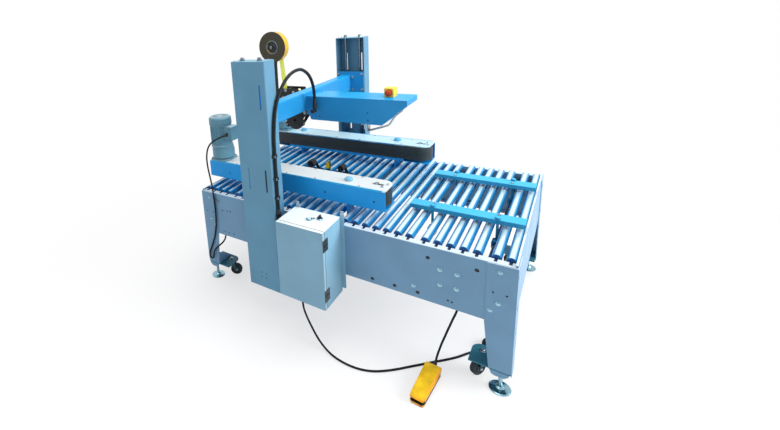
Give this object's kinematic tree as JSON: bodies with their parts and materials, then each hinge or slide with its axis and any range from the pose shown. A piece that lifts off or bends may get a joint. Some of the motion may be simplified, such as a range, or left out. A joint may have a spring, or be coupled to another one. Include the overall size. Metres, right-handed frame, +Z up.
{
  "type": "carton sealer",
  "caption": "carton sealing machine: roller bed, two side belt drives, tape heads above and below, beam that slides on two columns, control box, foot switch",
  "frame": {"origin": "on the floor under the middle of the roller bed", "axes": "+X along the conveyor towards the infeed end, +Y towards the far side from the operator, +Z up"},
  "size_m": [1.7179, 1.4681, 1.557],
  "materials": {
    "frame_blue": "semi-gloss powder coat",
    "drive_blue": "gloss paint",
    "plate_white": "satin paint",
    "head_blue": "gloss paint",
    "steel": "ground steel",
    "zinc": "bright zinc plate",
    "belt_rubber": "matt rubber",
    "alloy": "turned alloy",
    "motor_paint": "satin paint",
    "black_steel": "satin black paint",
    "tape": "clear adhesive tape on a core",
    "estop_yellow": "moulded plastic",
    "estop_red": "moulded plastic",
    "grey_plastic": "moulded plastic",
    "black_plastic": "moulded plastic",
    "cable_black": "flexible sheath",
    "wheel_rubber": "solid rubber wheel"
  },
  "bodies": {
    "frame": {"near_side_plate": "frame_blue", "far_side_plate": "frame_blue", "end_frames": "frame_blue", "levelling_feet": "zinc", "near_column": "frame_blue", "far_column": "frame_blue", "guide_shafts": "steel", "bed_members": "frame_blue", "bed_rollers": "zinc", "control_box": "frame_blue", "lower_tape_frame": "steel", "foot_switch_base": "estop_yellow", "mains_lead": "cable_black", "mains_coil": "cable_black", "mains_plug": "black_plastic", "foot_switch_cord": "cable_black", "near_motor_lead": "cable_black", "head_conduit": "cable_black"},
    "head": {"lift_carriages": "frame_blue", "cross_beam": "head_blue", "head_body": "head_blue", "pressure_skid": "steel", "estop_box": "estop_yellow", "upper_tape_frame": "black_steel"},
    "upper_front_arm_body": {"upper_front_arm": "black_steel"},
    "upper_rear_arm_body": {"upper_rear_arm": "black_steel"},
    "upper_roll": {"upper_tape_roll": "tape"},
    "lower_roll": {"lower_tape_roll": "tape"},
    "lower_front_arm_body": {"lower_front_arm": "steel"},
    "lower_rear_arm_body": {"lower_rear_arm": "steel"},
    "lower_knife": {"lower_knife_arm": "steel"},
    "estop": {"estop_button": "estop_red"},
    "start": {"start_button": "grey_plastic"},
    "selector": {"selector_knob": "black_plastic"},
    "door": {"control_box_door": "frame_blue"},
    "upper_latch": {"upper_door_latch": "zinc"},
    "lower_latch": {"lower_door_latch": "zinc"},
    "near_rail": {"near_guide_rail": "head_blue"},
    "far_rail": {"far_guide_rail": "head_blue"},
    "pedal": {"foot_pedal": "estop_yellow"},
    "near_drive": {"near_drive_cover": "drive_blue", "near_drive_plate": "plate_white", "near_drive_belt": "belt_rubber", "near_gearmotor": "motor_paint"},
    "near_drive_pulley_body": {"near_drive_pulley": "alloy"},
    "near_idler_pulley_body": {"near_idler_pulley": "alloy"},
    "far_drive": {"far_drive_cover": "drive_blue", "far_drive_plate": "plate_white", "far_drive_belt": "belt_rubber", "far_gearmotor": "motor_paint"},
    "far_drive_pulley_body": {"far_drive_pulley": "alloy"},
    "far_idler_pulley_body": {"far_idler_pulley": "alloy"},
    "near_right_castor": {"near_right_castor_fork": "steel"},
    "near_right_wheel": {"near_right_castor_wheel": "wheel_rubber"},
    "near_left_castor": {"near_left_castor_fork": "steel"},
    "near_left_wheel": {"near_left_castor_wheel": "wheel_rubber"},
    "far_right_castor": {"far_right_castor_fork": "steel"},
    "far_right_wheel": {"far_right_castor_wheel": "wheel_rubber"},
    "far_left_castor": {"far_left_castor_fork": "steel"},
    "far_left_wheel": {"far_left_castor_wheel": "wheel_rubber"}
  },
  "joints": [
    {"name": "head_lift", "type": "slide", "parent": "frame", "child": "head", "axis": [0, 0, 1], "range_m": [-0.24, 0.2], "deforming": ["head_conduit"]},
    {"name": "near_width", "type": "slide", "parent": "frame", "child": "near_drive", "axis": [0, 1, 0], "range_m": [-0.04, 0.2], "deforming": ["near_motor_lead"]},
    {"name": "far_width", "type": "slide", "parent": "frame", "child": "far_drive", "axis": [0, 1, 0], "range_m": [-0.2, 0.04]},
    {"name": "near_drive_turn", "type": "hinge", "parent": "near_drive", "child": "near_drive_pulley_body", "pos_m": [-0.79, -0.3654, 0.734], "axis": [0, 0, 1], "continuous": true},
    {"name": "near_idler_turn", "type": "hinge", "parent": "near_drive", "child": "near_idler_pulley_body", "pos_m": [0.218, -0.3654, 0.734], "axis": [0, 0, 1], "continuous": true},
    {"name": "far_drive_turn", "type": "hinge", "parent": "far_drive", "child": "far_drive_pulley_body", "pos_m": [-0.79, 0.3654, 0.734], "axis": [0, 0, 1], "continuous": true},
    {"name": "far_idler_turn", "type": "hinge", "parent": "far_drive", "child": "far_idler_pulley_body", "pos_m": [0.218, 0.3654, 0.734], "axis": [0, 0, 1], "continuous": true},
    {"name": "near_guide", "type": "slide", "parent": "frame", "child": "near_rail", "axis": [0, 1, 0], "range_m": [-0.2, 0.12]},
    {"name": "far_guide", "type": "slide", "parent": "frame", "child": "far_rail", "axis": [0, 1, 0], "range_m": [-0.12, 0.2]},
    {"name": "upper_front_swing", "type": "hinge", "parent": "head", "child": "upper_front_arm_body", "pos_m": [-0.366, 0, 1.04], "axis": [0, 1, 0], "range_deg": [0, 30], "stiffness_Nm_per_rad": 4, "springref_deg": -28.65},
    {"name": "upper_rear_swing", "type": "hinge", "parent": "head", "child": "upper_rear_arm_body", "pos_m": [-0.45, 0, 1.04], "axis": [0, 1, 0], "range_deg": [0, 30]},
    {"name": "upper_roll_turn", "type": "hinge", "parent": "head", "child": "upper_roll", "pos_m": [-0.596, 0, 1.457], "axis": [0, 1, 0], "continuous": true},
    {"name": "lower_rear_swing", "type": "hinge", "parent": "frame", "child": "lower_rear_arm_body", "pos_m": [-0.29, 0, 0.575], "axis": [0, -1, 0], "range_deg": [0, 45], "stiffness_Nm_per_rad": 8, "springref_deg": -34.38},
    {"name": "lower_front_swing", "type": "hinge", "parent": "frame", "child": "lower_front_arm_body", "pos_m": [-0.118, 0, 0.596], "axis": [0, -1, 0], "range_deg": [0, 64]},
    {"name": "lower_knife_swing", "type": "hinge", "parent": "frame", "child": "lower_knife", "pos_m": [-0.25, 0, 0.59], "axis": [0, -1, 0], "range_deg": [0, 79]},
    {"name": "lower_roll_turn", "type": "hinge", "parent": "frame", "child": "lower_roll", "pos_m": [-0.3, 0, 0.37], "axis": [0, 1, 0], "continuous": true},
    {"name": "estop_press", "type": "slide", "parent": "head", "child": "estop", "axis": [0, 1, 0], "range_m": [0, 0.005]},
    {"name": "start_press", "type": "slide", "parent": "frame", "child": "start", "axis": [0, 0, -1], "range_m": [0, 0.003], "stiffness_N_per_m": 500, "springref_m": -0.003},
    {"name": "selector_turn", "type": "hinge", "parent": "frame", "child": "selector", "pos_m": [0.024, -0.624, 0.661], "axis": [0, 0, 1], "range_deg": [-45, 45]},
    {"name": "door_swing", "type": "hinge", "parent": "frame", "child": "door", "pos_m": [-0.165, -0.7292, 0.4475], "axis": [0, 0, -1], "range_deg": [0, 110]},
    {"name": "upper_latch_turn", "type": "hinge", "parent": "frame", "child": "upper_latch", "pos_m": [0.102, -0.716, 0.586], "axis": [1, 0, 0], "range_deg": [-90, 0]},
    {"name": "lower_latch_turn", "type": "hinge", "parent": "frame", "child": "lower_latch", "pos_m": [0.102, -0.716, 0.314], "axis": [1, 0, 0], "range_deg": [-90, 0]},
    {"name": "near_right_swivel", "type": "hinge", "parent": "frame", "child": "near_right_castor", "pos_m": [0.735, -0.47, 0.104], "axis": [0, 0, 1], "continuous": true},
    {"name": "near_right_roll", "type": "hinge", "parent": "near_right_castor", "child": "near_right_wheel", "pos_m": [0.72058, -0.494, 0.0383], "axis": [-0.8572, 0.515, 0], "continuous": true},
    {"name": "near_left_swivel", "type": "hinge", "parent": "frame", "child": "near_left_castor", "pos_m": [-0.735, -0.47, 0.104], "axis": [0, 0, 1], "continuous": true},
    {"name": "near_left_roll", "type": "hinge", "parent": "near_left_castor", "child": "near_left_wheel", "pos_m": [-0.71075, -0.456, 0.0383], "axis": [0.5, -0.866, 0], "continuous": true},
    {"name": "far_right_swivel", "type": "hinge", "parent": "frame", "child": "far_right_castor", "pos_m": [0.735, 0.47, 0.104], "axis": [0, 0, 1], "continuous": true},
    {"name": "far_right_roll", "type": "hinge", "parent": "far_right_castor", "child": "far_right_wheel", "pos_m": [0.71776, 0.49206, 0.0383], "axis": [0.788, 0.6157, 0], "continuous": true},
    {"name": "far_left_swivel", "type": "hinge", "parent": "frame", "child": "far_left_castor", "pos_m": [-0.735, 0.47, 0.104], "axis": [0, 0, 1], "continuous": true},
    {"name": "far_left_roll", "type": "hinge", "parent": "far_left_castor", "child": "far_left_wheel", "pos_m": [-0.76038, 0.45817, 0.0383], "axis": [-0.4226, 0.9063, 0], "continuous": true},
    {"name": "pedal_press", "type": "hinge", "parent": "frame", "child": "pedal", "pos_m": [0.55892, -0.60697, 0.024], "axis": [0.998, -0.0635, 0], "range_deg": [0, 3.5], "stiffness_Nm_per_rad": 40, "springref_deg": -2.86}
  ],
  "couplings": [
    {"joint": "far_width", "follows": "near_width", "ratio": -1},
    {"joint": "near_idler_turn", "follows": "near_drive_turn", "ratio": 1},
    {"joint": "far_idler_turn", "follows": "far_drive_turn", "ratio": 1},
    {"joint": "upper_rear_swing", "follows": "upper_front_swing", "ratio": 1},
    {"joint": "lower_front_swing", "follows": "lower_rear_swing", "ratio": 1.42},
    {"joint": "lower_knife_swing", "follows": "lower_rear_swing", "ratio": 1.75}
  ]
}
